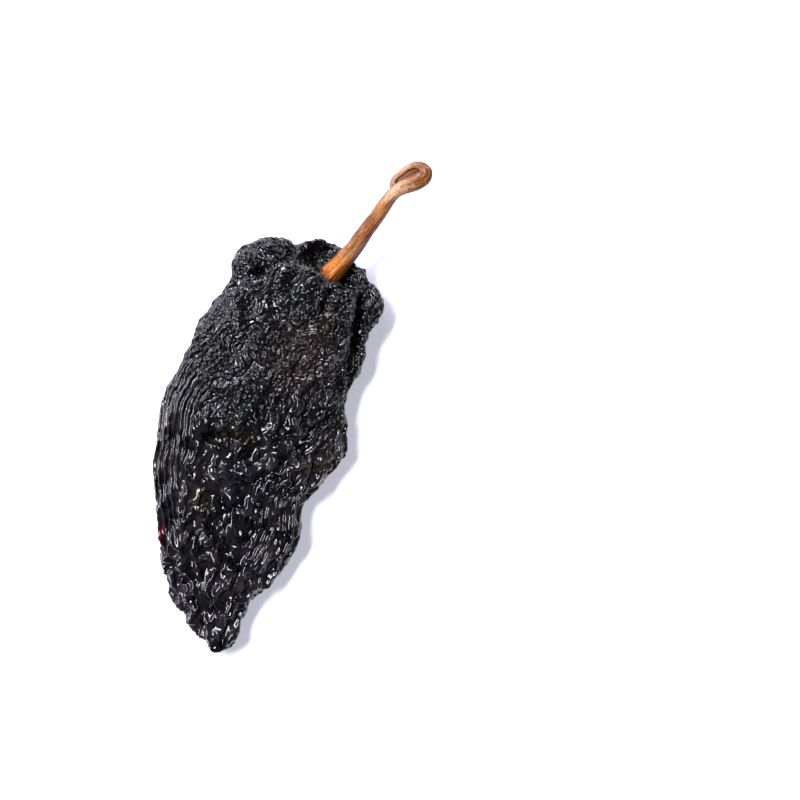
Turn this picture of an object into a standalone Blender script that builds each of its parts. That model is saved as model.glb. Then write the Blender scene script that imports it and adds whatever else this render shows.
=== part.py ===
"""A dried ancho chili: a flattened, wrinkled pod lying on its back, its calyx and its curled stem.

Metres, +Z up, with the surface that it lies on at Z 0. +Y runs along the pod from the tip to the stem.
The tables are written from a point under the pod's belly, and centre_over_box() then moves every piece so
that the origin is the middle of the whole outline.
"""

import math

import bmesh
import bpy
from mathutils import Vector, noise

MM = 0.001

# The pod's loft, from the floor of the stem's hollow over its rim to the tip, in millimetres. Each row is a
# flattened ring: left edge x, y, right edge x, y, the edges' height, the crown above them, the belly below
# them, and how far the crown leans towards the tip and the belly towards the stem.
POD_RINGS = (
    (11.8, 46.7, 11.8, 46.7, 10.4, 0.0, 0.0, 0.0, 0.0),
    (5.4, 50.2, 18.2, 43.2, 10.4, 4.0, 4.3, 1.8, 1.8),
    (2.4, 52.8, 20.6, 48.2, 10.2, 5.0, 1.4, 5.4, 5.2),
    (-3.2, 54.4, 23.8, 47.8, 9.6, 7.4, 5.0, 5.0, 3.8),
    (-12.6, 53.4, 27.4, 46.0, 9.2, 9.2, 7.2, 4.6, 0.4),
    (-17.8, 47.4, 29.6, 42.0, 9.0, 10.4, 8.0, 3.4, 0.0),
    (-16.2, 40.8, 29.2, 37.4, 8.8, 10.9, 8.0, 2.4, 0.0),
    (-19.8, 32.4, 27.2, 30.2, 8.6, 11.2, 7.8, 1.2, 0.2),
    (-23.8, 21.2, 27.2, 22.0, 8.4, 11.2, 7.6, 0.4, 0.0),
    (-26.2, 10.8, 25.6, 14.0, 8.2, 10.8, 7.5, 0.0, 0.0),
    (-28.6, 1.2, 27.8, 1.4, 8.0, 10.4, 7.3, 0.0, 0.0),
    (-28.4, -6.2, 27.0, -5.6, 7.8, 10.0, 7.1, 0.0, 0.0),
    (-27.0, -16.4, 23.4, -14.6, 7.4, 9.4, 6.6, 0.0, 0.0),
    (-25.6, -25.0, 18.6, -21.4, 7.0, 8.6, 6.1, 0.0, 0.0),
    (-23.6, -32.6, 18.8, -29.6, 6.7, 7.8, 5.6, 0.0, 0.0),
    (-20.8, -41.2, 17.4, -38.2, 6.4, 7.0, 5.2, 0.0, 0.0),
    (-17.0, -49.6, 14.0, -46.8, 6.0, 6.2, 4.6, 0.0, 0.0),
    (-11.8, -57.4, 8.6, -53.0, 5.6, 5.2, 4.0, 0.0, 0.0),
    (-6.4, -63.0, 6.6, -59.0, 5.2, 4.4, 3.4, 0.0, 0.0),
    (-2.2, -67.2, 5.8, -65.0, 5.0, 3.4, 2.8, 0.0, 0.0),
    (-0.2, -69.6, 4.6, -68.6, 4.9, 2.2, 2.0, 0.0, 0.0),
    (2.3, -70.4, 2.3, -70.4, 4.9, 0.0, 0.0, 0.0, 0.0),
)
RING_STEPS = 76  # points round the pod, in fours
FRONT_STEPS = 43  # how many of them lie on the side that shows
WIDEST_ROW = 10.0
FINE_STEPS = 30  # samples per step when points are spaced evenly
RING_ROWS = 78  # rings along it
SECTION_POWER = 0.84  # under 1 makes a ring's section squarer than an ellipse
FLAP_THINNING = 0.42  # share of its thickness that the right-hand edge has lost
FLAP_FROM = 0.35  # where that starts, as a share of the half width
FLAP_ENDS_Y = -20.0 * MM

# Deep folds: x, y of one end, x, y of the other, half width and depth, in millimetres.
FRONT_FOLDS = (
    (-12.5, -6.3, -0.6, -7.4, 2.2, 2.4),
    (23.4, 42.5, 24.2, 28.8, 1.9, 2.6),
    (24.2, 28.8, 22.3, 15.0, 1.9, 1.8),
    (-1.8, 34.0, 9.0, 19.5, 3.4, 1.7),
    (2.6, 6.6, 5.0, 5.0, 3.0, 2.0),
    (13.6, 41.6, 12.6, 36.6, 2.0, 1.5),
    (19.6, -20.6, 5.0, -33.0, 2.4, 1.9),
    (5.0, -33.0, -3.0, -46.0, 2.2, 1.4),
    (22.0, -9.0, 12.0, -3.0, 2.4, 1.5),
    (-0.6, 55.0, -2.4, 50.0, 2.2, 2.0),
    (-2.4, 50.0, -8.0, 46.0, 2.4, 1.3),
    (-8.0, 46.0, -17.0, 40.6, 2.4, 1.5),
)
BACK_FOLDS = (
    (4.0, 40.0, -3.0, 14.0, 3.0, 2.2),
    (-14.0, 30.0, -18.0, 6.0, 2.4, 1.8),
    (16.0, 26.0, 20.0, 4.0, 2.4, 2.0),
    (10.0, -16.0, -4.0, -34.0, 2.6, 1.8),
    (-16.0, -16.0, -12.0, -36.0, 2.4, 1.6),
    (2.0, -44.0, 1.0, -60.0, 1.8, 1.2),
)

LUMP_SIZE = 21.0 * MM
LUMP_HEIGHT = 1.5 * MM
WRINKLE_SIZE = 6.2 * MM  # spacing of the wrinkles
WRINKLE_HEIGHT = 1.9 * MM
WRINKLE_WARP = 2.6 * MM  # how far a slower noise bends them
WRINKLE_MEAN = 0.45  # share of their height by which the skin between them sinks
CREST_WIDTH = 0.28  # noise value at which a crest has run out
PUCKER_SIZE = 2.8 * MM
PUCKER_SHARE = 0.2  # of the wrinkles' height
RIDGE_STRETCH = 3.2  # how far the wrinkles along the edges are drawn out into ridges
RIDGE_WARP = 0.6  # share of the warp that bends those
RIDGES_ACROSS = (0.5, 0.8)  # shares of the half width between which the wrinkles become ridges
RIDGES_ALONG = (0.35, 0.45)  # and shares of the rows
TIP_RIDGES_ALONG = (0.7, 0.9)
TIP_RIDGES_SHARE = 0.7
EDGE_CALM = 0.6  # share of their height that the wrinkles lose at the pod's outline
EDGE_CALM_ACROSS = (0.75, 1.0)  # and the shares of the half width over which they lose it
FLOOR_ROW = 1.3  # the hollow's floor, up to this row of POD_RINGS, stays smooth under the calyx
RIM_ROW = 2.6  # from this row on the wrinkles have their full height
TIP_ROWS = 1.2  # rows before the tip over which they shrink
TIP_RELIEF = 0.3  # to this share of their height
FOLD_FACING = (0.1, 0.6)  # how level the skin has to be for a deep fold to start, and to be at its full depth

FLAT_SPOT = 8.0 * MM  # radius of the flat spot under the pod
FLAT_SPOT_FADE = 6.0 * MM

# The stem's middle line from its foot to the curl's end: x, y, z and radius, in millimetres.
STEM_LINE = (
    (12.8, 48.5, 11.2, 3.25),
    (13.9, 50.4, 12.1, 3.0),
    (15.3, 52.6, 13.2, 2.8),
    (17.4, 56.1, 15.0, 2.6),
    (19.7, 61.1, 17.0, 2.4),
    (22.0, 65.8, 18.6, 2.25),
    (23.7, 69.6, 19.7, 2.15),
    (25.2, 72.8, 20.5, 2.0),
    (26.9, 75.5, 21.1, 1.95),
    (29.2, 78.3, 21.5, 2.05),
    (31.2, 80.3, 21.6, 2.05),
    (32.8, 82.0, 21.5, 1.95),
    (33.4, 83.7, 21.3, 1.8),
    (32.3, 85.1, 20.9, 1.45),
    (30.5, 85.2, 20.5, 1.15),
    (28.9, 84.3, 20.2, 1.05),
    (27.4, 82.8, 19.9, 1.0),
    (26.0, 81.0, 19.7, 1.0),
    (25.1, 78.2, 19.2, 0.9),
)
STEM_STEPS = 3  # tube sections between two points of the middle line
STEM_BEVEL_RESOLUTION = 5
STEM_WELD = 0.01 * MM
STEM_CAP_SHARE = 0.2  # of the radius: points this close to the middle line belong to the end caps
STEM_RIBS = 5
STEM_RIB_HEIGHT = 0.07  # share of the radius
STEM_RIB_TWIST = 0.9  # turns of the ribs' pattern along the stem
STEM_KNOB_SIZE = 7.0 * MM
STEM_KNOB_HEIGHT = 0.3 * MM

CALYX_GAP = 0.55 * MM  # left below the calyx, as the pod's facets cut across the curved floor
CALYX_REACH = 0.8  # row of POD_RINGS that the calyx reaches to
CALYX_THICKNESS = 1.2 * MM
CALYX_LOBES = 5
CALYX_LOBE_DEPTH = 0.1
CALYX_CRINKLE_SIZE = 2.4 * MM
CALYX_CRINKLE_HEIGHT = 0.5 * MM
CALYX_STEPS = 36
CALYX_ROWS = 14

POD_COLOUR = (0.016, 0.013, 0.013, 1.0)
CALYX_COLOUR = (0.045, 0.028, 0.014, 1.0)
STEM_COLOUR = (0.50, 0.235, 0.085, 1.0)
POD_ROUGHNESS = 0.32
CALYX_ROUGHNESS = 0.7
STEM_ROUGHNESS = 0.55


def clear_scene():
    for obj in list(bpy.data.objects):
        bpy.data.objects.remove(obj, do_unlink=True)


def new_collection(name):
    collection = bpy.data.collections.new(name)
    bpy.context.scene.collection.children.link(collection)
    return collection


def material(name, colour, roughness):
    made = bpy.data.materials.new(name)
    made.use_nodes = True
    shader = made.node_tree.nodes["Principled BSDF"]
    shader.inputs["Base Color"].default_value = colour
    shader.inputs["Roughness"].default_value = roughness
    shader.inputs["Metallic"].default_value = 0.0
    return made


def object_from(shape, name, collection):
    """A smooth-shaded object made of a finished bmesh."""
    mesh = bpy.data.meshes.new(name)
    bmesh.ops.recalc_face_normals(shape, faces=shape.faces)
    shape.to_mesh(mesh)
    shape.free()
    mesh.shade_smooth()
    made = bpy.data.objects.new(name, mesh)
    collection.objects.link(made)
    return made


def smooth_step(low, high, value):
    t = min(1.0, max(0.0, (value - low) / (high - low)))
    return t * t * (3.0 - 2.0 * t)


def through_rows(rows, place):
    """The row at a fractional place in a table, on a smooth curve through its rows."""
    last = len(rows) - 1
    first = max(0, min(int(place), last - 1))
    t = place - first
    before, start, end, after = (rows[max(0, min(last, first + step))] for step in (-1, 0, 1, 2))
    return [
        0.5 * (2 * b + (c - a) * t + (2 * a - 5 * b + 4 * c - d) * t * t + (3 * b - a - 3 * c + d) * t**3)
        for a, b, c, d in zip(before, start, end, after)
    ]


def evenly(count, start, end, move):
    """Values from start to end, in count steps, between which move() covers the same distance each time."""
    fine = FINE_STEPS * count
    step = (end - start) / fine
    travelled = [0.0]
    for i in range(fine):
        travelled.append(travelled[-1] + move(start + i * step, start + (i + 1) * step))
    values, at = [], 0
    for index in range(count + 1):
        wanted = travelled[-1] * index / count
        while at < fine - 1 and travelled[at + 1] < wanted:
            at += 1
        part = (wanted - travelled[at]) / (travelled[at + 1] - travelled[at])
        values.append(start + (at + part) * step)
    return values


def ring_places():
    """Places in POD_RINGS that are evenly spaced along the pod, by the mean travel of its four sides."""
    def move(first, second):
        sides = [side * math.pi / 2 for side in range(4)]
        return sum((pod_point(second, side) - pod_point(first, side)).length for side in sides)
    return evenly(RING_ROWS, 0.0, len(POD_RINGS) - 1.0, move)


def ring_turns():
    """Turns round the pod, evenly spaced on its widest ring, first those over the front."""
    def move(first, second):
        return (pod_point(WIDEST_ROW, second) - pod_point(WIDEST_ROW, first)).length
    front = evenly(FRONT_STEPS, 0.0, math.pi, move)
    back = evenly(RING_STEPS - FRONT_STEPS, math.pi, 2.0 * math.pi, move)
    return front[:-1] + back[:-1]


def pod_point(place, turn):
    """A point of the pod before it wrinkled. turn goes round from the right edge over the front."""
    left_x, left_y, right_x, right_y, edge, crown, belly, *leans = through_rows(POD_RINGS, place)
    left, right = Vector((left_x, left_y, edge)), Vector((right_x, right_y, edge))
    across = math.copysign(abs(math.cos(turn)) ** SECTION_POWER, math.cos(turn))
    up = math.copysign(abs(math.sin(turn)) ** SECTION_POWER, math.sin(turn))
    point = ((left + right) / 2 + (right - left) / 2 * across) * MM
    in_flap = smooth_step(FLAP_FROM, 1.0, across) * smooth_step(FLAP_ENDS_Y, 0.0, point.y)
    rise, lean = (crown, leans[0]) if up > 0 else (belly, leans[1])
    point.z += rise * up * (1.0 - FLAP_THINNING * in_flap) * MM
    point.y -= lean * up * MM
    return point


def distance_to_line(x, y, x0, y0, x1, y1):
    along = ((x - x0) * (x1 - x0) + (y - y0) * (y1 - y0)) / ((x1 - x0) ** 2 + (y1 - y0) ** 2)
    along = min(1.0, max(0.0, along))
    return math.hypot(x - x0 - along * (x1 - x0), y - y0 - along * (y1 - y0))


def fold_depth(point, facing_up):
    """How far the deep folds sink the skin at a point, negative for inward."""
    depth = 0.0
    x, y = point.x / MM, point.y / MM
    for x0, y0, x1, y1, width, deep in FRONT_FOLDS if facing_up > 0 else BACK_FOLDS:
        away = distance_to_line(x, y, x0, y0, x1, y1) / width
        depth -= deep * math.exp(-away * away)
    return depth * MM * smooth_step(*FOLD_FACING, abs(facing_up))


def crests(sample):
    """Sharp crests with broad valleys between them, from 0 to 1."""
    height = max(0.0, 1.0 - abs(noise.noise(sample)) / CREST_WIDTH)
    return height * height * (3.0 - 2.0 * height)


def wrinkle_height(point, place, turn):
    """The net of wrinkles, drawn out into ridges along the pod's edges and near the tip."""
    warp = noise.noise_vector(point / (2.0 * WRINKLE_SIZE)) * WRINKLE_WARP
    net = crests((point + warp) / WRINKLE_SIZE)
    drawn = (point + warp * RIDGE_WARP) / WRINKLE_SIZE
    drawn.y /= RIDGE_STRETCH
    share = place / (len(POD_RINGS) - 1)
    at_edge = smooth_step(*RIDGES_ACROSS, abs(math.cos(turn))) * smooth_step(*RIDGES_ALONG, share)
    at_tip = TIP_RIDGES_SHARE * smooth_step(*TIP_RIDGES_ALONG, share)
    ridged = max(at_edge, at_tip)
    pucker = PUCKER_SHARE * noise.noise(point / PUCKER_SIZE)
    calm = 1.0 - EDGE_CALM * smooth_step(*EDGE_CALM_ACROSS, abs(math.cos(turn)))
    return (net + (crests(drawn) - net) * ridged + pucker - WRINKLE_MEAN) * WRINKLE_HEIGHT * calm


def relief_share(place):
    """How much of the relief there is: none on the hollow's floor, and less at the very tip."""
    to_tip = len(POD_RINGS) - 1 - place
    at_tip = TIP_RELIEF + (1.0 - TIP_RELIEF) * smooth_step(0.0, TIP_ROWS, to_tip)
    return smooth_step(FLOOR_ROW, RIM_ROW, place) * at_tip


def build_pod(collection):
    shape = bmesh.new()
    bmesh.ops.create_uvsphere(shape, u_segments=RING_STEPS, v_segments=RING_ROWS, radius=1.0)
    places, turns = ring_places(), ring_turns()
    where = {}
    for vert in shape.verts:
        row = round(RING_ROWS * math.acos(max(-1.0, min(1.0, vert.co.z))) / math.pi)
        step = round(RING_STEPS * math.atan2(vert.co.y, vert.co.x) / (2.0 * math.pi))
        where[vert] = (places[row], turns[step % RING_STEPS])
        vert.co = pod_point(*where[vert])
    bmesh.ops.recalc_face_normals(shape, faces=shape.faces)
    shape.normal_update()
    moves = {}
    for vert, (place, turn) in where.items():
        lumps = noise.noise(vert.co / LUMP_SIZE) * LUMP_HEIGHT
        height = lumps + wrinkle_height(vert.co, place, turn) + fold_depth(vert.co, vert.normal.z)
        moves[vert] = vert.normal * height * relief_share(place)
    for vert, move in moves.items():
        vert.co += move
        level_underside(vert)
    return object_from(shape, "pod", collection)


def level_underside(vert):
    """Rests the pod: its lowest wrinkles are pressed flat, and so is a round spot under its middle."""
    if vert.normal.z < 0.0:
        away = math.hypot(vert.co.x, vert.co.y)
        vert.co.z *= smooth_step(FLAT_SPOT, FLAT_SPOT + FLAT_SPOT_FADE, away)
    vert.co.z = max(0.0, vert.co.z)


def floor_normal():
    """The direction in which the hollow's floor faces."""
    right, front, left, back = (pod_point(1.0, side * math.pi / 2) for side in range(4))
    return (left - right).cross(front - back).normalized()


def build_calyx(collection):
    """A crinkled, lobed disc that lines the floor of the hollow, a gap above it all over."""
    shape = bmesh.new()
    facing = floor_normal()
    bmesh.ops.create_uvsphere(shape, u_segments=CALYX_STEPS, v_segments=CALYX_ROWS, radius=1.0)
    for vert in shape.verts:
        turn = math.atan2(vert.co.y, vert.co.x)
        level = vert.co.z
        out = 1.0 - abs(math.asin(max(-1.0, min(1.0, level)))) / (math.pi / 2)
        lobes = 1.0 + CALYX_LOBE_DEPTH * math.cos(CALYX_LOBES * turn)
        place = out * CALYX_REACH * lobes
        base = pod_point(place, turn)
        crinkle = abs(noise.noise(base / CALYX_CRINKLE_SIZE)) * CALYX_CRINKLE_HEIGHT
        above = CALYX_GAP + CALYX_THICKNESS * (1.0 + level) / 2 + crinkle * out * (1.0 + level) / 2
        vert.co = base + facing * above
    return object_from(shape, "calyx", collection)


def stem_row(index):
    """The middle of the stem and its radius at one section of the tube."""
    x, y, z, radius = through_rows(STEM_LINE, index / STEM_STEPS)
    return Vector((x, y, z)) * MM, radius * MM


def stem_tube():
    """A round tube along STEM_LINE, as a closed bmesh."""
    curve = bpy.data.curves.new("stem", "CURVE")
    curve.dimensions = "3D"
    curve.bevel_depth = 1.0
    curve.bevel_resolution = STEM_BEVEL_RESOLUTION
    curve.use_fill_caps = True
    spline = curve.splines.new("POLY")
    spline.points.add(STEM_STEPS * (len(STEM_LINE) - 1))
    for index, point in enumerate(spline.points):
        centre, radius = stem_row(index)
        point.co = (*centre, 1.0)
        point.radius = radius
    carrier = bpy.data.objects.new("stem_line", curve)
    bpy.context.scene.collection.objects.link(carrier)
    bpy.context.view_layer.update()
    mesh = bpy.data.meshes.new_from_object(carrier.evaluated_get(bpy.context.evaluated_depsgraph_get()))
    bpy.data.objects.remove(carrier, do_unlink=True)
    shape = bmesh.new()
    shape.from_mesh(mesh)
    bpy.data.meshes.remove(mesh)
    bmesh.ops.remove_doubles(shape, verts=shape.verts, dist=STEM_WELD)
    return shape


def build_stem(collection):
    """The stem with its lengthwise ribs and a few soft knobs."""
    shape = stem_tube()
    rows = [stem_row(index) for index in range(STEM_STEPS * (len(STEM_LINE) - 1) + 1)]
    for vert in shape.verts:
        nearest = min(range(len(rows)), key=lambda index: (rows[index][0] - vert.co).length)
        centre, radius = rows[nearest]
        out = vert.co - centre
        if out.length < STEM_CAP_SHARE * radius:
            continue
        ahead = rows[min(nearest + 1, len(rows) - 1)][0] - rows[max(nearest - 1, 0)][0]
        side = ahead.cross(Vector((0.0, 0.0, 1.0))).normalized()
        above = side.cross(ahead).normalized()
        twist = STEM_RIB_TWIST * 2.0 * math.pi * nearest / (len(rows) - 1)
        angle = math.atan2(out.dot(above), out.dot(side)) + twist
        rib = STEM_RIB_HEIGHT * radius * math.cos(STEM_RIBS * angle)
        knob = noise.noise(vert.co / STEM_KNOB_SIZE) * STEM_KNOB_HEIGHT
        vert.co += out.normalized() * (rib + knob)
    return object_from(shape, "stem", collection)


def centre_over_box(pieces):
    """Moves all the pieces so that the origin is under the middle of their common outline."""
    spots = [vert.co for piece in pieces for vert in piece.data.vertices]
    middle = Vector([(min(s[axis] for s in spots) + max(s[axis] for s in spots)) / 2 for axis in (0, 1)])
    for piece in pieces:
        for vert in piece.data.vertices:
            vert.co.xy -= middle


def main():
    clear_scene()
    chili = new_collection("ancho_chili")
    pod, calyx, stem = build_pod(chili), build_calyx(chili), build_stem(chili)
    centre_over_box((pod, calyx, stem))
    pod.data.materials.append(material("dried skin", POD_COLOUR, POD_ROUGHNESS))
    calyx.data.materials.append(material("dried calyx", CALYX_COLOUR, CALYX_ROUGHNESS))
    stem.data.materials.append(material("dry stem", STEM_COLOUR, STEM_ROUGHNESS))


main()
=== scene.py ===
"""A dried ancho chili: its wrinkled skin, calyx and curled stem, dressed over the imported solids."""

import math
from itertools import product

import bmesh
import bpy
import numpy as np
from mathutils import Matrix, Vector

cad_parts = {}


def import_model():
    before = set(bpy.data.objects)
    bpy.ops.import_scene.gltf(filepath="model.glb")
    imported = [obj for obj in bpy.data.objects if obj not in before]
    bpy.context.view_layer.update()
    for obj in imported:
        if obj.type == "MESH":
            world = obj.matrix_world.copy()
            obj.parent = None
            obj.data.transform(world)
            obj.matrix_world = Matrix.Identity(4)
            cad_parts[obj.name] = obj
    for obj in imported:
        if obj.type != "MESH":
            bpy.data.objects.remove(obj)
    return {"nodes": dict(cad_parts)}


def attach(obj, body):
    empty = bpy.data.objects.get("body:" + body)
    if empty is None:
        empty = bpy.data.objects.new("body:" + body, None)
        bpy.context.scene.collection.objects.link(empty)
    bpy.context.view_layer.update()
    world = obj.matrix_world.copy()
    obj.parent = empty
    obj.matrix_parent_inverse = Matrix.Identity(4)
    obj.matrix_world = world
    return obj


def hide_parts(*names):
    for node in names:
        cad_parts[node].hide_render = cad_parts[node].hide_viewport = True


MM = 0.001

# The skin is worked in millimetres, on a plain mesh, then twice more, each time with four times the faces.
PLAIN_VOXEL = 1.0
EVEN_PASSES = 3
EVEN_SHARE = 0.5
FLOOR_Z = 0.03
SKIN_TRIANGLES = 400000
# The underside, where normals point down by this much, has fewer faces.
UNDER_FROM = -0.15
UNDER_TO = -0.45
UNDER_LEVELS = 8
WELD_METRES = 1e-6
TINY = 1e-9
SKIN_PARTS = (("skin_tip", -90.0, -22.0), ("skin_middle", -22.0, 14.0), ("skin_shoulders", 14.0, 90.0))

# Growth is the share by which the skin outgrows what it lies on. Where three numbers stand together, they
# are for the dull part, the glossy part and the pleats along its edges.
BROAD = {
    "growth": (0.08, 0.20, 0.05), "bend": (0.30, 0.30, 0.30), "steps": 90,
    "seed": 3, "seed_mm": 0.5, "seed_size": 4.5, "drawn": 2, "pleat_mm": 0.0,
}
FOLDS = {
    "growth": (0.14, 0.40, 0.12), "bend": (0.30, 0.46, 0.34), "steps": 90,
    "seed": 11, "seed_mm": 0.28, "seed_size": 1.6, "drawn": 12, "pleat_mm": 0.08,
}
CRINKLES = {
    "growth": (0.44, 0.34, 0.36), "bend": (0.25, 0.55, 0.55), "steps": 70,
    "seed": 23, "seed_mm": 0.14, "seed_size": 0.7, "drawn": 10, "pleat_mm": 0.12,
}
# The unevenness that starts the folds is smeared along the ridges, so that they come out long.
DRAW_SHARPNESS = 3
DRAW_LEAST = 0.02
DRAW_DULL = 0.9
PLEATED_SEED = 0.4
# What the skin lies on gives way less inward than outward, so ridges are narrow and hollows flat.
HOLD_IN = 0.030
HOLD_OUT = 0.005
HOLD_ALONG = 0.004
MOMENTUM = 0.8
RAMP_SHARE = 0.4
# The skin grows less at the pod's steep rim, and unevenly from patch to patch.
RIM_FROM = 0.50
RIM_TO = 0.15
RIM_GROWTH = 0.3
PATCH_SIZE = 11.0
PATCH_SHARE = 0.75
PATCH_LIMITS = (0.35, 1.5)
# How far the ridges turn away from the pod's length, in radians, and over what size in millimetres.
TURN_SIZE = 9.0
TURN_MOST = 2.2
START_TURN = 0.6
TURN_DULL = 2.6
TURN_DULL_SIZE = 6.0
# What is smoothed away in these passes is relief. It is raised once the skin has folded.
RELIEF_PASSES = 10
RELIEF_GAIN = 0.75
CREST_GAIN = 0.8
CREST_LIMIT = 0.4
FULL_RELIEF = 0.35

# Creases pressed in before the skin folds: x, y of both ends, half width and depth in millimetres.
CREASES = (
    (0.4, 42.6, 5.6, 46.2, 2.6, 3.6),
    (-2.8, 48.2, -3.6, 41.0, 1.5, 1.8),
    (-3.6, 41.0, -10.6, 35.8, 1.6, 1.2),
    (-10.6, 35.8, -17.0, 32.0, 1.8, 1.0),
    (-13.8, -14.8, -2.4, -11.8, 2.2, 1.4),
    (19.4, 34.0, 21.6, 9.0, 1.3, 1.6),
    (10.6, 33.6, 9.4, 29.0, 1.2, 1.2),
)
NOTCH = (-2.9, 50.0, 1.9, 3.2, 2.4)  # in the far rim: x, y, half width, half length, depth

# Where the skin turns from dull and finely crinkled to glossy and broadly folded, along the pod.
GLOSS_FROM_Y = 8.0
GLOSS_TO_Y = -16.0
GLOSS_SWAY = 9.0
GLOSS_SWAY_SIZE = 16.0

# Ridges follow the pod's length at its edges and towards its tip. How closely they do is from 0 to 1.
RUN_EDGE = 0.9
RUN_TIP = 0.25
RUN_GLOSSY = 0.5
RUN_DULL = 0.6
TIP_FROM_Y = -38.0
TIP_TO_Y = -60.0

# Long pleats lie along the left edge, and beside the right edge near the tip.
LEFT_ACROSS = (0.26, 0.15)
LEFT_START = (12.0, -8.0)
LEFT_END = (-52.0, -40.0)
RIGHT_ACROSS = (0.56, 0.72)
RIGHT_START = (-16.0, -28.0)
RIGHT_END = (-56.0, -44.0)
RIGHT_SHARE = 0.5
PLEAT_RAGGED = 0.12
PLEAT_RAGGED_SIZE = 7.0
PLEAT_GAP = 1.8
PLEAT_SWAYS = ((9.0, 3.0), (3.0, 1.6))  # size in millimetres, and how far the pleats give way
OUTLINE_BINS = 90
OUTLINE_PASSES = 12

# Patches of another colour: middle x, y and half sizes in millimetres, then the attribute that they colour.
STAINS = (
    (-7.3, -12.8, 8.0, 3.4, "olive"),
    (-14.4, -34.3, 4.5, 4.5, "olive"),
    (11.7, 23.4, 5.0, 8.0, "olive"),
    (-24.2, -48.5, 1.7, 8.0, "red"),
    (20.2, -16.8, 7.5, 7.5, "brown"),
    (4.9, 12.1, 12.0, 12.0, "brown"),
    (14.4, -18.4, 1.3, 1.6, "tan"),
)
STAIN_EDGE = (1.1, 0.35)
STAIN_SWAY = 0.35
STAIN_SWAY_SIZE = 4.0

DULL_COLOURS = ((0.0006, 0.0006, 0.0008), (0.0034, 0.0027, 0.0026))
GLOSSY_COLOURS = ((0.0010, 0.0011, 0.0020), (0.0125, 0.0115, 0.0125))
# Raised crests are lightened towards this colour: partly dust, partly a painted highlight.
CREST_DUST_AND_SHEEN_COLOUR = (0.006, 0.0055, 0.0065)
STAIN_COLOURS = {
    "olive": (0.014, 0.011, 0.002),
    "brown": (0.022, 0.013, 0.009),
    "red": (0.060, 0.004, 0.003),
    "tan": (0.34, 0.17, 0.06),
}
SKIN_ROUGHNESS = (0.08, 0.20)
THREAD_SIZE = 0.003
THREAD_WIDTH = 0.05
THREAD_GLOSSY = 0.1
THREAD_METRES = 0.00016

CALYX_COLOURS = ((0.007, 0.0055, 0.004), (0.030, 0.020, 0.012))
CALYX_VOXEL = 0.35
CALYX_CRINKLES = ((0.9, 0.30, 51), (2.2, 0.35, 52))  # size and height in millimetres, then the seed

# The stem's middle line and radius, from its foot to the end of its curl, near the line that the solid has.
STEM_SHIFT = (-2.870, -7.962)
STEM_LINE = (
    (11.9, 47.0, 10.4, 3.35),
    (12.8, 48.5, 11.2, 3.25),
    (13.9, 50.4, 12.1, 3.0),
    (15.3, 52.6, 13.2, 2.8),
    (17.4, 56.1, 15.0, 2.6),
    (19.7, 61.1, 17.0, 2.4),
    (22.0, 65.8, 18.6, 2.25),
    (23.7, 69.6, 19.7, 2.15),
    (25.2, 72.8, 20.5, 2.0),
    (27.0, 75.4, 21.1, 2.00),
    (29.9, 77.8, 21.2, 2.45),
    (32.3, 79.4, 21.1, 2.60),
    (33.8, 81.0, 21.1, 2.35),
    (33.9, 82.6, 21.1, 1.95),
    (32.6, 83.8, 20.9, 1.40),
    (30.8, 84.0, 20.5, 1.10),
    (29.1, 83.1, 20.2, 0.95),
    (27.5, 81.6, 19.9, 0.90),
    (26.1, 80.0, 19.7, 0.90),
    (25.2, 78.2, 19.6, 0.95),
    (25.4, 76.6, 20.0, 1.00),
    (26.3, 75.4, 20.9, 0.90),
)
# The dark web that fills the loop of the curl. Painted shade darkens it further.
WEB_LINE = (
    (26.0, 77.0, 19.0, 0.7),
    (27.0, 78.6, 18.7, 1.2),
    (28.6, 80.4, 18.9, 1.4),
    (30.4, 81.9, 19.2, 1.4),
    (31.8, 82.8, 19.6, 1.0),
)
STEM_STEPS = 12
STEM_SIDES = 72
STEM_RIBS = 5
STEM_RIB_HEIGHT = 0.035
STEM_RIB_TWIST = 0.15
STEM_GRAIN = 0.07
GRAIN_LENGTH = 0.025
GRAIN_SIZES = ((3.6, 41), (8.0, 42))
GRAIN_SHARE = 0.8
STEM_KNOBS = 0.05
STEM_KNOB_SIZE = 3.0
# Painted shade: the stem's flanks and underside are darker, most of all the flank to the right and below in
# the picture, away from the key light.
FAR_FLANK_SHADE = ((0.45, 0.95), 0.75)
FAR_FLANK_WAY = (0.8, -0.5)
SIDES_AND_UNDER_SHADE = ((0.70, 0.15), 0.85)
# How much painted shade the web in the curl gets all over.
WEB_SHADE = 0.45
WEB_UP = 0.3  # it has the colour of the stem at this share of its length
# Between two shares of the stem's length it turns from the first colour, or the one so far, to the second.
STEM_COLOURS = (
    (0.00, 0.08, (0.36, 0.065, 0.004), (0.46, 0.155, 0.015)),
    (0.08, 0.20, None, (0.30, 0.120, 0.046)),
    (0.20, 0.30, None, (0.175, 0.050, 0.004)),
    (0.36, 0.46, None, (0.34, 0.128, 0.028)),
    (0.46, 0.54, None, (0.56, 0.330, 0.185)),
    (0.56, 0.66, None, (0.19, 0.064, 0.017)),
    (0.76, 0.86, None, (0.44, 0.240, 0.125)),
)
STEM_GRAIN_COLOUR = (0.085, 0.026, 0.007)
# Colour of the painted shade on the stem's flanks, underside and the web in its curl.
STEM_SHADE_COLOUR = (0.070, 0.017, 0.005)
STEM_PALE_COLOUR = (0.50, 0.30, 0.18)
STEM_LIGHT_COLOUR = (0.66, 0.33, 0.13)

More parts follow.
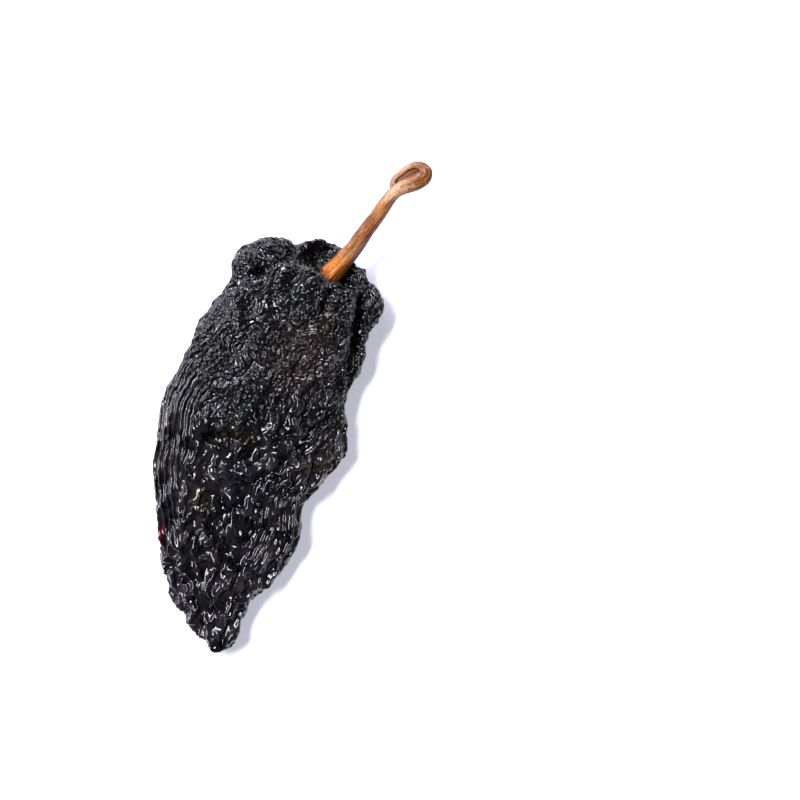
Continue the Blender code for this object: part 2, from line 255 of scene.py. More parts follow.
# Camera and light, in metres.
AIM = (0.0376, 0.0074, 0.008)
VIEW_TURN = math.radians(12.0)
VIEW_WIDTH = 0.240
LENS = 100.0
SENSOR = 36.0
KEY_FROM = (-0.48, 0.13, 0.96)
KEY_SIZE = (0.80, 0.24)  # across and up, seen from the chili
KEY_POWER = 20.5
KEY_COLOUR = (0.98, 0.94, 1.0)
FILL_FROM = (-0.62, 0.62, 0.62)
FILL_SIZE = (0.80, 0.80)
FILL_POWER = 11.5
FILL_COLOUR = (0.73, 0.74, 1.0)
FLOOR_SIZE = 4.0
WORLD_COLOUR = (0.84, 0.82, 1.0, 1.0)
WORLD_LEVELS = (0.50, 0.95, 0.28, 0.03)  # heights of the sky that it changes between, then its strength there
FLOOR_COLOUR = (0.93, 0.93, 0.94, 1.0)
FLOOR_ROUGHNESS = 0.9
FLOOR_GLOW_COLOUR = (0.86, 0.87, 1.0, 1.0)
FLOOR_GLOW = 0.48


def lattice(cells, seed):
    """A fixed number from -1 to 1 for each whole-number cell."""
    mixed = cells[..., 0] * 374761393 + cells[..., 1] * 668265263 + cells[..., 2] * 1274126177
    mixed = mixed + seed * 362437
    mixed = (mixed ^ (mixed >> 13)) * 1103515245
    mixed = mixed ^ (mixed >> 16)
    return (mixed & 0xFFFF) / 32767.5 - 1.0


def noise3(points, seed=0):
    """Smooth gradient noise, from about -1 to 1, one cell to the unit."""
    base = np.floor(points).astype(np.int64)
    inside = points - base
    fade = inside**3 * (inside * (inside * 6.0 - 15.0) + 10.0)
    total = np.zeros(len(points))
    for corner in product((0, 1), repeat=3):
        weight = np.prod(np.where(np.array(corner) == 1, fade, 1.0 - fade), axis=1)
        for axis in range(3):
            slope = lattice(base + corner, seed * 3 + axis)
            total += weight * slope * (inside[:, axis] - corner[axis])
    return total * 1.6


def smooth_step(low, high, value):
    share = np.clip((value - low) / (high - low), 0.0, 1.0)
    return share * share * (3.0 - 2.0 * share)


def lengths(vectors):
    return np.sqrt(np.einsum("ij,ij->i", vectors, vectors))


def points_of(mesh):
    flat = np.empty(len(mesh.vertices) * 3)
    mesh.vertices.foreach_get("co", flat)
    return flat.reshape(-1, 3) / MM


def faces_of(mesh):
    flat = np.empty(len(mesh.loops), np.int64)
    mesh.loops.foreach_get("vertex_index", flat)
    return flat.reshape(-1, 4)


def quad_mesh(name, points, faces):
    """A mesh from points in millimetres and faces of four corners."""
    mesh = bpy.data.meshes.new(name)
    mesh.from_pydata((points * MM).tolist(), [], faces.tolist())
    mesh.polygons.foreach_set("use_smooth", [True] * len(mesh.polygons))
    mesh.update()
    return mesh


def new_object(name, mesh):
    thing = bpy.data.objects.new(name, mesh)
    bpy.context.scene.collection.objects.link(thing)
    return thing


def with_modifier(mesh, kind, settings):
    """The mesh that one modifier makes of this one."""
    carrier = new_object("carrier", mesh)
    modifier = carrier.modifiers.new("shape", kind)
    for name, value in settings.items():
        setattr(modifier, name, value)
    evaluated = carrier.evaluated_get(bpy.context.evaluated_depsgraph_get())
    made = bpy.data.meshes.new_from_object(evaluated)
    bpy.data.objects.remove(carrier)
    return made


def links_of(faces):
    """Each pair of corners that share an edge, and each pair across a face."""
    sides = np.concatenate([faces[:, [i, (i + 1) % 4]] for i in range(4)])
    edges = np.unique(np.sort(sides, axis=1), axis=0)
    across = np.sort(np.concatenate([faces[:, [0, 2]], faces[:, [1, 3]]]), axis=1)
    return edges, np.concatenate([edges, np.unique(across, axis=0)])


def summed(count, first, second, values):
    """Each link's value at its first end and the opposite value at its second end, added up."""
    total = np.empty((count, 3))
    for axis in range(3):
        column = values[:, axis]
        total[:, axis] = np.bincount(first, column, count) - np.bincount(second, column, count)
    return total


def unevenness(values, first, second, ends):
    """How far the mean of a point's neighbours is from it."""
    gap = values[second] - values[first]
    return summed(len(values), first, second, gap) / ends[:, None]


def normals_of(points, faces):
    """The outward direction at each point."""
    corners = points[faces]
    turned = np.cross(corners[:, 2] - corners[:, 0], corners[:, 3] - corners[:, 1])
    total = np.zeros_like(points)
    for axis in range(3):
        for corner in range(4):
            total[:, axis] += np.bincount(faces[:, corner], turned[:, axis], len(points))
    return total / np.maximum(lengths(total), TINY)[:, None]


def evened(points, edges, passes, share=EVEN_SHARE):
    """The points after some passes of smoothing."""
    first, second = edges.T.copy()
    ends = np.bincount(edges.ravel(), minlength=len(points))
    for _ in range(passes):
        points = points + share * unevenness(points, first, second, ends)
    return points


def outline(points):
    """The pod's left and right edge and their slopes, at even steps along it."""
    low, high = points[:, 1].min(), points[:, 1].max()
    bins = np.minimum((points[:, 1] - low) / (high - low) * OUTLINE_BINS, OUTLINE_BINS - 1).astype(int)
    left = np.full(OUTLINE_BINS, np.inf)
    right = np.full(OUTLINE_BINS, -np.inf)
    np.minimum.at(left, bins, points[:, 0])
    np.maximum.at(right, bins, points[:, 0])
    for _ in range(OUTLINE_PASSES):
        left[1:-1] = (left[:-2] + 2.0 * left[1:-1] + left[2:]) / 4.0
        right[1:-1] = (right[:-2] + 2.0 * right[1:-1] + right[2:]) / 4.0
    middles = low + (np.arange(OUTLINE_BINS) + 0.5) * (high - low) / OUTLINE_BINS
    return middles, left, right


def pleats(points, share, edges, slopes):
    """Where the skin lies in long pleats, and the wave that starts them."""
    x, y = points[:, 0], points[:, 1]
    ragged = share + PLEAT_RAGGED * noise3(points / PLEAT_RAGGED_SIZE, 19)
    left = smooth_step(*LEFT_ACROSS, ragged) * smooth_step(*LEFT_START, y) * smooth_step(*LEFT_END, y)
    right = smooth_step(*RIGHT_ACROSS, ragged) * smooth_step(*RIGHT_START, y) * smooth_step(*RIGHT_END, y)
    on_left = share < 0.5
    inward = np.where(on_left, x - edges[0], edges[1] - x) / np.hypot(1.0, np.where(on_left, *slopes))
    phase = 2.0 * math.pi * inward / PLEAT_GAP
    for seed, (size, sway) in enumerate(PLEAT_SWAYS):
        phase = phase + sway * noise3(points / size, 29 + seed)
    return np.maximum(left, RIGHT_SHARE * right), np.sin(phase)


def fields(points, normals):
    """What changes over the skin: gloss, pleats, the way its ridges run and how closely, and its vigour."""
    middles, left, right = outline(points)
    x, y = points[:, 0], points[:, 1]
    edges = [np.interp(y, middles, side) for side in (left, right)]
    slopes = [np.interp(y, middles, np.gradient(side, middles)) for side in (left, right)]
    share = np.clip((x - edges[0]) / np.maximum(edges[1] - edges[0], 1e-6), 0.0, 1.0)
    sway = noise3(points / GLOSS_SWAY_SIZE, 5) * GLOSS_SWAY
    gloss = smooth_step(GLOSS_FROM_Y, GLOSS_TO_Y, y + sway)
    rim = smooth_step(RIM_FROM, RIM_TO, np.abs(normals[:, 2]))
    pleated, pleat = pleats(points, share, edges, slopes)
    tip = smooth_step(TIP_FROM_Y, TIP_TO_Y, y) * RUN_TIP
    guided = np.maximum.reduce([pleated * RUN_EDGE, rim * RUN_EDGE, tip])
    turn = TURN_MOST * noise3(points / TURN_SIZE, 13) * gloss
    turn += (START_TURN + TURN_DULL * noise3(points / TURN_DULL_SIZE, 17)) * (1.0 - gloss)
    turn *= 1.0 - guided
    along = np.stack([mixed(slopes, share), np.ones(len(x)), np.zeros(len(x))], axis=1)
    along /= lengths(along)[:, None]
    beside = np.stack([along[:, 1], -along[:, 0], along[:, 2]], axis=1)
    along = along * np.cos(turn)[:, None] + beside * np.sin(turn)[:, None]
    ridge_across = np.cross(normals, along)
    ridge_across /= np.maximum(lengths(ridge_across), TINY)[:, None]
    patch = np.clip(1.0 + PATCH_SHARE * noise3(points / PATCH_SIZE, 7), *PATCH_LIMITS)
    vigour = mixed((patch * mixed((1.0, RIM_GROWTH), rim), 1.0), pleated)
    return {
        "gloss": gloss,
        "pleated": pleated,
        "pleat": pleat,
        "ridge_across": ridge_across,
        "run": np.maximum(guided, mixed((RUN_DULL, RUN_GLOSSY), gloss)),
        "vigour": vigour,
    }


def buckled(points, faces, growth, bend, ridge_across, run, steps):
    """The skin after it has grown more than what it lies on, and so has thrown itself into folds."""
    edges, links = links_of(faces)
    first, second = links.T.copy()
    edge_first, edge_second = edges.T.copy()
    ends = np.bincount(links.ravel(), minlength=len(points))[:, None]
    edge_ends = np.bincount(edges.ravel(), minlength=len(points))
    start, normals = points.copy(), normals_of(points, faces)
    gap = start[second] - start[first]
    rest = lengths(gap)
    facing = np.einsum("ij,ij->i", gap / rest[:, None], ridge_across[first]) ** 2
    grown = 0.5 * (growth[first] + growth[second]) * (1.0 - run[first] + run[first] * facing)
    points = points.copy()
    motion = np.zeros_like(points)
    for step in range(steps):
        wanted = rest * (1.0 + grown * min(1.0, (step + 1) / (RAMP_SHARE * steps)))
        gap = points[second] - points[first]
        gap *= (0.5 * (1.0 - wanted / lengths(gap)))[:, None]
        change = summed(len(points), first, second, gap) / ends
        off = points - start
        level = unevenness(off, edge_first, edge_second, edge_ends)
        level = unevenness(level, edge_first, edge_second, edge_ends)
        out = np.einsum("ij,ij->i", off, normals)
        hold = np.where(out < 0.0, HOLD_IN, HOLD_OUT)
        change -= bend[:, None] * level + HOLD_ALONG * off + (hold * out)[:, None] * normals
        motion = MOMENTUM * motion + change
        points += motion
    return points


def mixed(pair, share):
    """From the first number of the pair to the second, by share."""
    return pair[0] + (pair[1] - pair[0]) * share


def clear_of_floor(points):
    """No point goes under the surface that the chili lies on."""
    points[:, 2] = np.maximum(points[:, 2], FLOOR_Z)
    return points


def drawn_out(values, points, faces, ridge_across, passes):
    """The values, smeared along the ridges."""
    first, second = links_of(faces)[1].T.copy()
    gap = points[second] - points[first]
    across = np.einsum("ij,ij->i", gap / lengths(gap)[:, None], ridge_across[first])
    weight = DRAW_LEAST + (1.0 - across**2) ** DRAW_SHARPNESS
    count = len(points)
    total = np.bincount(first, weight, count) + np.bincount(second, weight, count)
    spread = values.std()
    for _ in range(passes):
        taken = np.bincount(first, weight * values[second], count)
        taken += np.bincount(second, weight * values[first], count)
        values = 0.5 * (values + taken / total)
    return values * spread / values.std()


def by_place(numbers, place):
    """A number for each point from those of the dull part, the glossy part and the pleats."""
    dull, glossy, pleated = numbers
    return mixed((mixed((dull, glossy), place["gloss"]), pleated), place["pleated"])


def folded(points, faces, folds):
    """The skin with one size of folds, and the gloss of each point before it folds."""
    normals = normals_of(points, faces)
    place = fields(points, normals)
    across = place["ridge_across"]
    seed = noise3(points / folds["seed_size"], folds["seed"])
    drawn = drawn_out(seed, points, faces, across, folds["drawn"])
    seed = mixed((seed, drawn), np.maximum(place["gloss"], DRAW_DULL)) * folds["seed_mm"]
    seed *= mixed((1.0, PLEATED_SEED), place["pleated"])
    seed += place["pleat"] * place["pleated"] * folds["pleat_mm"]
    growth = by_place(folds["growth"], place) * place["vigour"]
    bend = by_place(folds["bend"], place)
    points = points + normals * seed[:, None]
    return buckled(points, faces, growth, bend, across, place["run"], folds["steps"]), place["gloss"]


def finer(points, faces):
    """The same form with four times the faces."""
    made = with_modifier(quad_mesh("coarse", points, faces), "SUBSURF", {"levels": 1, "render_levels": 1})
    return points_of(made), faces_of(made)


def creased(points, normals):
    """The pod's mesh with its deepest creases and the notch in its far rim pressed in."""
    up = smooth_step(0.0, 0.5, normals[:, 2])
    points = points.copy()
    for x0, y0, x1, y1, width, depth in CREASES:
        run = np.array((x1 - x0, y1 - y0))
        along = np.clip(((points[:, :2] - (x0, y0)) @ run) / run.dot(run), 0.0, 1.0)
        away = lengths(points[:, :2] - (x0, y0) - along[:, None] * run) / width
        points[:, 2] -= depth * up * np.exp(-away * away)
    x, y, half_width, half_length, depth = NOTCH
    near = np.exp(-(((points[:, 0] - x) / half_width) ** 2) - ((points[:, 1] - y) / half_length) ** 2)
    points[:, 1] -= depth * near
    return points


def grow_skin(mesh):
    """Points and faces of the wrinkled skin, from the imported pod."""
    welded = with_modifier(mesh, "WELD", {"merge_threshold": WELD_METRES})
    plain = with_modifier(welded, "REMESH", {"mode": "VOXEL", "voxel_size": PLAIN_VOXEL * MM})
    points, faces = points_of(plain), faces_of(plain)
    points = evened(points, links_of(faces)[0], EVEN_PASSES)
    points = creased(points, normals_of(points, faces))
    points, _ = folded(points, faces, BROAD)
    points, faces = finer(points, faces)
    points, _ = folded(points, faces, FOLDS)
    points, faces = finer(points, faces)
    points, gloss = folded(points, faces, CRINKLES)
    return clear_of_floor(raised(points, faces)), faces, gloss


def relief_of(points, faces):
    """How far each point stands out from the skin without its folds, and the way that it stands out."""
    flat = evened(points, links_of(faces)[0], RELIEF_PASSES)
    normals = normals_of(flat, faces)
    return np.einsum("ij,ij->i", points - flat, normals), normals


def raised(points, faces):
    """The same folds, a little deeper and with sharper crests."""
    relief, normals = relief_of(points, faces)
    gain = RELIEF_GAIN + CREST_GAIN * np.clip(relief, 0.0, CREST_LIMIT)
    return points + normals * (relief * gain)[:, None]


def thinned_below(skin, points, faces):
    """Fewer faces on the underside, so that the upper side can keep its crinkles."""
    down = smooth_step(UNDER_FROM, UNDER_TO, normals_of(points, faces)[:, 2])
    group = skin.vertex_groups.new(name="under")
    for level in range(1, UNDER_LEVELS + 1):
        chosen = np.flatnonzero(np.ceil(down * UNDER_LEVELS) == level)
        group.add(chosen.tolist(), level / UNDER_LEVELS, "REPLACE")
    modifier = skin.modifiers.new("thin", "DECIMATE")
    modifier.ratio = min(1.0, SKIN_TRIANGLES / (2 * len(faces)))
    modifier.vertex_group = "under"
    modifier.vertex_group_factor = 1.0
    made = bpy.data.meshes.new_from_object(skin.evaluated_get(bpy.context.evaluated_depsgraph_get()))
    made.vertices.foreach_set("co", (clear_of_floor(points_of(made)) * MM).ravel())
    skin.modifiers.clear()
    skin.vertex_groups.clear()
    skin.data = made


def stain_shares(points):
    """How strongly each named stain colours each point."""
    shares = {}
    sway = noise3(points / STAIN_SWAY_SIZE, 31) * STAIN_SWAY
    for x, y, half_x, half_y, name in STAINS:
        far = np.hypot((points[:, 0] - x) / half_x, (points[:, 1] - y) / half_y) + sway
        shares[name] = np.maximum(shares.get(name, 0.0), smooth_step(*STAIN_EDGE, far))
    return shares


def set_attribute(mesh, name, values):
    attribute = mesh.attributes.new(name, "FLOAT", "POINT")
    attribute.data.foreach_set("value", np.asarray(values, np.float32))


def parted(skin):
    """The skin in pieces along the pod, with the shading of one running on into the next."""
    whole = skin.data
    normals = np.empty(len(whole.vertices) * 3, np.float32)
    whole.vertices.foreach_get("normal", normals)
    whole.attributes.new("facing", "FLOAT_VECTOR", "POINT").data.foreach_set("vector", normals)
    pieces = []
    for name, low, high in SKIN_PARTS:
        work = bmesh.new()
        work.from_mesh(whole)
        outside = [face for face in work.faces if not low * MM <= face.calc_center_median().y < high * MM]
        bmesh.ops.delete(work, geom=outside, context="FACES")
        mesh = bpy.data.meshes.new(name)
        work.to_mesh(mesh)
        work.free()
        facing = mesh.attributes["facing"]
        normals = np.empty(len(mesh.vertices) * 3, np.float32)
        facing.data.foreach_get("vector", normals)
        mesh.attributes.remove(facing)
        mesh.materials.append(whole.materials[0])
        mesh.normals_split_custom_set_from_vertices(normals.reshape(-1, 3).tolist())
        pieces.append(new_object(name, mesh))
    bpy.data.objects.remove(skin)
    return pieces


def build_skin(node):
    """The pieces of the skin, with what colours them kept at their points."""
    points, faces, gloss = grow_skin(node.data)
    mesh = quad_mesh("skin", points, faces)
    relief, _ = relief_of(points, faces)
    set_attribute(mesh, "relief", np.clip(relief / FULL_RELIEF, -1.0, 1.0))
    set_attribute(mesh, "gloss", gloss)
    for name, share in stain_shares(points).items():
        set_attribute(mesh, name, share)
    mesh.materials.append(skin_material())
    skin = new_object("skin", mesh)
    thinned_below(skin, points, faces)
    return parted(skin)


class Nodes:
    """Adds shader nodes to one material in few words."""

    def __init__(self, name):
        self.material = bpy.data.materials.new(name)
        self.material.use_nodes = True
        self.tree = self.material.node_tree
        self.tree.nodes.clear()
        self.output = self.tree.nodes.new("ShaderNodeOutputMaterial")
        self.shader = self.tree.nodes.new("ShaderNodeBsdfPrincipled")
        self.join(self.shader.outputs[0], self.output.inputs[0])

    def join(self, source, target):
        self.tree.links.new(source, target)

    def put(self, value, socket):
        if isinstance(value, bpy.types.NodeSocket):
            self.join(value, socket)
        else:
            socket.default_value = value

    def attribute(self, name, output="Fac"):
        """What the mesh keeps at its points under that name."""
        node = self.tree.nodes.new("ShaderNodeAttribute")
        node.attribute_name = name
        return node.outputs[output]

    def noise(self, size, detail=3.0, roughness=0.55, distortion=0.0, place=None, stretch=None):
        """Noise with cells of that size in metres, or in the units of the place."""
        place = place or self.tree.nodes.new("ShaderNodeTexCoord").outputs["Object"]
        if stretch:
            mapping = self.tree.nodes.new("ShaderNodeMapping")
            mapping.inputs["Scale"].default_value = stretch
            self.join(place, mapping.inputs["Vector"])
            place = mapping.outputs[0]
        node = self.tree.nodes.new("ShaderNodeTexNoise")
        self.join(place, node.inputs["Vector"])
        node.inputs["Scale"].default_value = 1.0 / size
        node.inputs["Detail"].default_value = detail
        node.inputs["Roughness"].default_value = roughness
        node.inputs["Distortion"].default_value = distortion
        return node.outputs[0]

    def threads(self, size, width):
        """Thin raised lines that wander."""
        value = self.noise(size, detail=1.5, roughness=0.5, distortion=1.0)
        away = self.math("ABSOLUTE", self.math("SUBTRACT", value, 0.5), 0.0)
        return self.ranged(away, 0.0, width, 1.0, 0.0)

    def ranged(self, value, low, high, to_low=0.0, to_high=1.0):
        """The value's place between low and high, eased and brought to the second range."""
        node = self.tree.nodes.new("ShaderNodeMapRange")
        node.interpolation_type = "SMOOTHSTEP"
        self.put(value, node.inputs["Value"])
        for name, number in (("From Min", low), ("From Max", high), ("To Min", to_low), ("To Max", to_high)):
            node.inputs[name].default_value = number
        return node.outputs[0]

    def math(self, kind, first, second):
        node = self.tree.nodes.new("ShaderNodeMath")
        node.operation = kind
        self.put(first, node.inputs[0])
        self.put(second, node.inputs[1])
        return node.outputs[0]

    def blend(self, share, first, second):
        """Colour from the first to the second by share."""
        node = self.tree.nodes.new("ShaderNodeMix")
        node.data_type = "RGBA"
        self.put(share, node.inputs[0])
        for value, socket in ((first, node.inputs[6]), (second, node.inputs[7])):
            self.put(value if isinstance(value, bpy.types.NodeSocket) else (*value, 1.0), socket)
        return node.outputs[2]

    def bump(self, height, distance, strength):
        node = self.tree.nodes.new("ShaderNodeBump")
        node.inputs["Distance"].default_value = distance
        node.inputs["Strength"].default_value = strength
        self.join(height, node.inputs["Height"])
        return node.outputs[0]

    def finish(self, colour, roughness, normal, specular):
        self.put(colour, self.shader.inputs["Base Color"])
        self.put(roughness, self.shader.inputs["Roughness"])
        self.put(normal, self.shader.inputs["Normal"])
        self.shader.inputs["Specular IOR Level"].default_value = specular
        return self.material


def skin_material():
    """Near-black leather: dull and greyish near the stem, glossy below, with a few stains, and crests
    lightened by dust and a painted highlight.
    """
    made = Nodes("chili_skin")
    gloss = made.attribute("gloss")
    patch = made.noise(0.006, 4.0)
    speck = made.noise(0.0012, 3.0)
    dull = made.blend(made.ranged(speck, 0.42, 0.66), *DULL_COLOURS)
    shiny = made.blend(made.ranged(patch, 0.40, 0.66), *GLOSSY_COLOURS)
    # By their relief, crests take some of the lighter colour: dust and a painted highlight.
    crest_dust_and_sheen = made.ranged(made.attribute("relief"), 0.15, 0.9, 0.0, 0.5)
    colour = made.blend(crest_dust_and_sheen, made.blend(gloss, dull, shiny), CREST_DUST_AND_SHEEN_COLOUR)
    for name, tint in STAIN_COLOURS.items():
        share = made.math("MULTIPLY", made.attribute(name), made.ranged(speck, 0.40, 0.60, 0.10, 1.0))
        colour = made.blend(share, colour, tint)
    rough = made.ranged(patch, 0.36, 0.62, *SKIN_ROUGHNESS)
    threads = made.threads(THREAD_SIZE, THREAD_WIDTH)
    lines = made.math("MULTIPLY", threads, made.ranged(gloss, 0.0, 1.0, 1.0, THREAD_GLOSSY))
    return made.finish(colour, rough, made.bump(lines, THREAD_METRES, 0.8), 0.5)


def calyx_material():
    """Dark, dry tissue with a few paler fibres."""
    made = Nodes("calyx_tissue")
    fibre = made.noise(0.0009, 5.0, 0.65)
    colour = made.blend(made.ranged(fibre, 0.40, 0.68), *CALYX_COLOURS)
    rough = made.ranged(fibre, 0.4, 0.7, 0.45, 0.75)
    return made.finish(colour, rough, made.bump(fibre, 0.0004, 0.7), 0.5)


def stem_material():
    """Dry wood: burnt orange at the foot, pinkish tan at the curl, with dark lines along it and painted shade
    on its flanks and underside.
    """
    made = Nodes("stem_wood")
    up = made.attribute("up")
    along = made.attribute("wood", "Vector")
    patch = made.noise(0.0016, 3.0)
    colour = None
    for start, end, first, then in STEM_COLOURS:
        colour = made.blend(made.ranged(up, start, end), first or colour, then)
    near_curl = made.ranged(up, 0.42, 0.56)
    pale = made.math("MULTIPLY", made.ranged(patch, 0.50, 0.64, 0.0, 0.45), near_curl)
    colour = made.blend(pale, colour, STEM_PALE_COLOUR)
    fibres = made.noise(0.42, 3.0, 0.6, 0.6, along, (1.0, 1.0, 0.10))
    lines = made.noise(0.9, 2.0, 0.6, 0.4, along, (1.0, 1.0, 0.05))
    speck = made.noise(0.0006, 3.0)
    colour = made.blend(made.ranged(fibres, 0.50, 0.66, 0.0, 0.65), colour, STEM_GRAIN_COLOUR)
    colour = made.blend(made.ranged(lines, 0.56, 0.66, 0.0, 0.80), colour, STEM_GRAIN_COLOUR)
    colour = made.blend(made.ranged(speck, 0.52, 0.66, 0.0, 0.60), colour, STEM_GRAIN_COLOUR)
    colour = made.blend(made.ranged(fibres, 0.47, 0.34, 0.0, 0.35), colour, STEM_LIGHT_COLOUR)
    # Painted shade: the stem's flanks, underside and curl web are darkened towards this colour.
    colour = made.blend(made.attribute("shade"), colour, STEM_SHADE_COLOUR)
    rough = made.ranged(patch, 0.4, 0.7, 0.34, 0.55)
    return made.finish(colour, rough, made.bump(fibres, 0.00018, 0.7), 0.25)


def through_rows(rows, place):
    """A smooth course through the rows, at any place between them."""
    index = min(int(place), len(rows) - 2)
    share = place - index
    before, start, end, after = [np.array(rows[min(max(index + k, 0), len(rows) - 1)]) for k in (-1, 0, 1, 2)]
    return 0.5 * (
        2.0 * start
        + (end - before) * share
        + (2.0 * before - 5.0 * start + 4.0 * end - after) * share**2
        + (3.0 * start - before - 3.0 * end + after) * share**3
    )


def rings_along(line):
    """Middle, radius, side direction, upward direction and length so far for each ring along the line."""
    count = STEM_STEPS * (len(line) - 1)
    rows = np.array([through_rows(line, i / STEM_STEPS) for i in range(count + 1)])
    rows[:, :2] += STEM_SHIFT
    ahead = np.gradient(rows[:, :3], axis=0)
    ahead /= lengths(ahead)[:, None]
    run = np.concatenate([[0.0], np.cumsum(lengths(np.diff(rows[:, :3], axis=0)))])
    side = np.cross(ahead[0], (0.0, 0.0, 1.0))
    rings = []
    for index, row in enumerate(rows):
        side = side - ahead[index] * side.dot(ahead[index])
        side = side / np.linalg.norm(side)
        rings.append((row[:3], row[3], side, np.cross(side, ahead[index]), run[index]))
    return rings


def flank_shade(ring):
    """How much painted shade a ring's points get for the way that they face."""
    far_range, far_most = FAR_FLANK_SHADE
    both_range, both_most = SIDES_AND_UNDER_SHADE
    far = smooth_step(*far_range, ring[:, :2] @ FAR_FLANK_WAY) * far_most
    return np.maximum(far, smooth_step(*both_range, ring[:, 2]) * both_most)


def wooden(line, shade):
    """Points and faces of a woody tube, and each point's share of the length, painted shade and place in the
    wood.
    """
    turns = np.arange(STEM_SIDES) * 2.0 * math.pi / STEM_SIDES
    rings = rings_along(line)
    points, marks = [], []
    for middle, radius, side, above, run in rings:
        share = run / rings[-1][4]
        turned = turns + STEM_RIB_TWIST * 2.0 * math.pi * share
        ring = np.cos(turns)[:, None] * side + np.sin(turns)[:, None] * above
        where = np.stack([np.cos(turned), np.sin(turned), np.full(STEM_SIDES, run * GRAIN_LENGTH)], axis=1)
        grain = GRAIN_SHARE * sum(noise3(where * size, seed) for size, seed in GRAIN_SIZES)
        rib = STEM_RIB_HEIGHT * np.cos(STEM_RIBS * turned)
        knob = STEM_KNOBS * noise3((middle + ring * radius) / STEM_KNOB_SIZE, 43)
        swell = 1.0 + rib + knob - STEM_GRAIN * np.maximum(grain, 0.0)
        points.append(middle + ring * (radius * swell)[:, None])
        wood = [np.cos(turned) * radius, np.sin(turned) * radius, np.full(STEM_SIDES, run)]
        # Painted shade from the way each point faces, or the web's painted shade where that is more.
        painted_shade_share = np.maximum(flank_shade(ring), shade)
        marks.append(np.stack([np.full(STEM_SIDES, share), painted_shade_share, *wood], axis=1))
    index = np.arange(len(rings) * STEM_SIDES).reshape(len(rings), STEM_SIDES)
    after = np.roll(index, -1, 1)
    faces = np.stack([index[:-1], after[:-1], after[1:], index[1:]], -1).reshape(-1, 4).tolist()
    faces += [index[0][::-1].tolist(), index[-1].tolist()]
    return np.concatenate(points), faces, np.concatenate(marks)


def build_stem():
    """The stem with ribs and grain, and the web in its curl, each closed at both ends."""
    points, faces, marks = wooden(STEM_LINE, 0.0)
    # The web gets painted shade all over, as it lies in the loop of the curl.
    web_points, web_faces, web_marks = wooden(WEB_LINE, WEB_SHADE)
    web_marks[:, 0] = WEB_UP
    faces += [[corner + len(points) for corner in face] for face in web_faces]
    mesh = bpy.data.meshes.new("stem_wood")
    mesh.from_pydata((np.concatenate([points, web_points]) * MM).tolist(), [], faces)
    mesh.polygons.foreach_set("use_smooth", [True] * len(mesh.polygons))
    marks = np.concatenate([marks, web_marks]).astype(np.float32)
    set_attribute(mesh, "up", marks[:, 0])
    set_attribute(mesh, "shade", marks[:, 1])
    wood = mesh.attributes.new("wood", "FLOAT_VECTOR", "POINT")
    wood.data.foreach_set("vector", marks[:, 2:].ravel())
    mesh.materials.append(stem_material())
    return new_object("stem_wood", mesh)


def build_calyx(node):
    """Crinkled tissue round the stem's foot."""
    made = with_modifier(node.data, "REMESH", {"mode": "VOXEL", "voxel_size": CALYX_VOXEL * MM})
    points, faces = points_of(made), faces_of(made)
    points = evened(points, links_of(faces)[0], 2)
    normals = normals_of(points, faces)
    out = sum(height * noise3(points / size, seed) for size, height, seed in CALYX_CRINKLES)
    points += normals * out[:, None]
    calyx = new_object("calyx_tissue", quad_mesh("calyx_tissue", points, faces))
    calyx.data.materials.append(calyx_material())
    return calyx


def build_floor():
    """A plain, pale surface. Its faint glow keeps the shadow soft and light."""
    mesh = bpy.data.meshes.new("floor")
    half = FLOOR_SIZE / 2.0
    corners = [(-half, -half, 0.0), (half, -half, 0.0), (half, half, 0.0), (-half, half, 0.0)]
    mesh.from_pydata(corners, [], [(0, 1, 2, 3)])
    floor = new_object("floor", mesh)
    made = Nodes("floor_paint")
    made.shader.inputs["Base Color"].default_value = FLOOR_COLOUR
    made.shader.inputs["Roughness"].default_value = FLOOR_ROUGHNESS
    made.shader.inputs["Specular IOR Level"].default_value = 0.0
    made.shader.inputs["Emission Color"].default_value = FLOOR_GLOW_COLOUR
    made.shader.inputs["Emission Strength"].default_value = FLOOR_GLOW
    floor.data.materials.append(made.material)
    return floor


def add_light(name, place, size, power, colour):
    """A soft, oval light that faces the chili."""
    light = bpy.data.lights.new(name, "AREA")
    light.shape = "ELLIPSE"
    light.size, light.size_y = size
    light.energy = power
    light.color = colour
    lamp = new_object(name, light)
    lamp.location = place
    lamp.rotation_euler = (Vector(AIM) - Vector(place)).to_track_quat("-Z", "Y").to_euler()


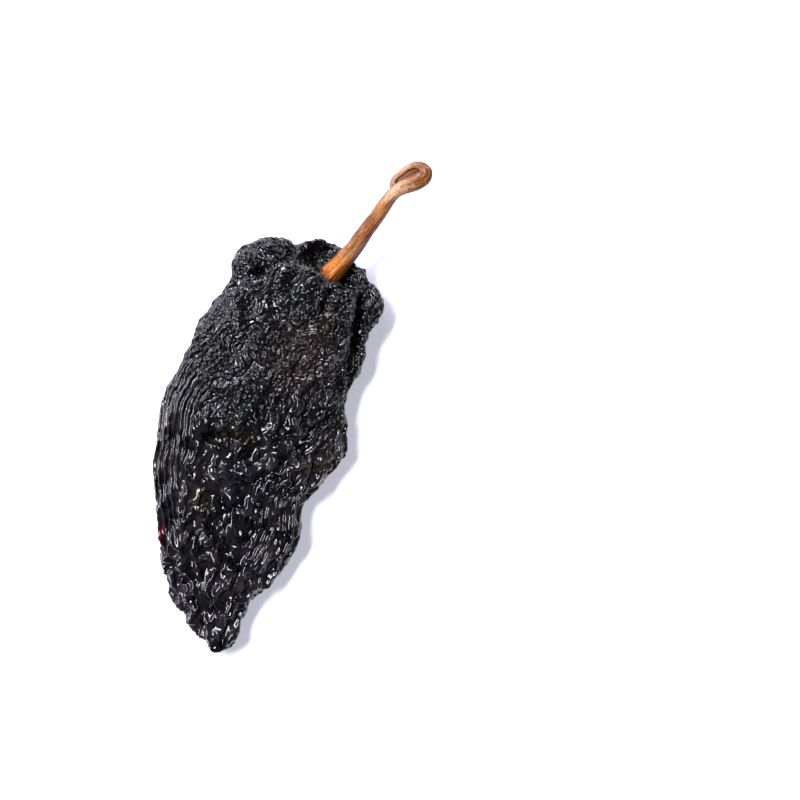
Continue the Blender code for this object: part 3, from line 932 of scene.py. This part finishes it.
def add_camera():
    """Straight above the chili, turned so that it leans in the picture as in the photo."""
    camera = bpy.data.cameras.new("camera")
    camera.lens = LENS
    camera.sensor_width = SENSOR
    camera.clip_end = 10.0
    seen = new_object("camera", camera)
    right = Vector((math.cos(VIEW_TURN), math.sin(VIEW_TURN), 0.0))
    up = Vector((-math.sin(VIEW_TURN), math.cos(VIEW_TURN), 0.0))
    turned = Matrix((right, up, (0.0, 0.0, 1.0))).transposed()
    seen.matrix_world = turned.to_4x4()
    seen.location = (AIM[0], AIM[1], AIM[2] + VIEW_WIDTH * LENS / SENSOR)
    bpy.context.scene.camera = seen


def set_world():
    """Pale light from all round, with less of it from straight above, where the camera is."""
    world = bpy.data.worlds.new("world")
    world.use_nodes = True
    tree = world.node_tree
    background = tree.nodes["Background"]
    background.inputs["Color"].default_value = WORLD_COLOUR
    place = tree.nodes.new("ShaderNodeTexCoord").outputs["Generated"]
    parts = tree.nodes.new("ShaderNodeSeparateXYZ")
    tree.links.new(place, parts.inputs[0])
    ranged = tree.nodes.new("ShaderNodeMapRange")
    ranged.interpolation_type = "SMOOTHSTEP"
    tree.links.new(parts.outputs["Z"], ranged.inputs["Value"])
    for name, number in zip(("From Min", "From Max", "To Min", "To Max"), WORLD_LEVELS):
        ranged.inputs[name].default_value = number
    tree.links.new(ranged.outputs[0], background.inputs["Strength"])
    bpy.context.scene.world = world
    bpy.context.scene.view_settings.view_transform = "Standard"


def dress(piece, node):
    """The piece stands for that node, whose solid is hidden, and rides on the part."""
    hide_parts(node)
    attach(piece, "root")


def main():
    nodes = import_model()["nodes"]
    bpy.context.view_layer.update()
    for piece in build_skin(nodes["pod"]):
        dress(piece, "pod")
    dress(build_calyx(nodes["calyx"]), "calyx")
    dress(build_stem(), "stem")
    build_floor()
    set_world()
    add_light("key", KEY_FROM, KEY_SIZE, KEY_POWER, KEY_COLOUR)
    add_light("fill", FILL_FROM, FILL_SIZE, FILL_POWER, FILL_COLOUR)
    add_camera()


main()
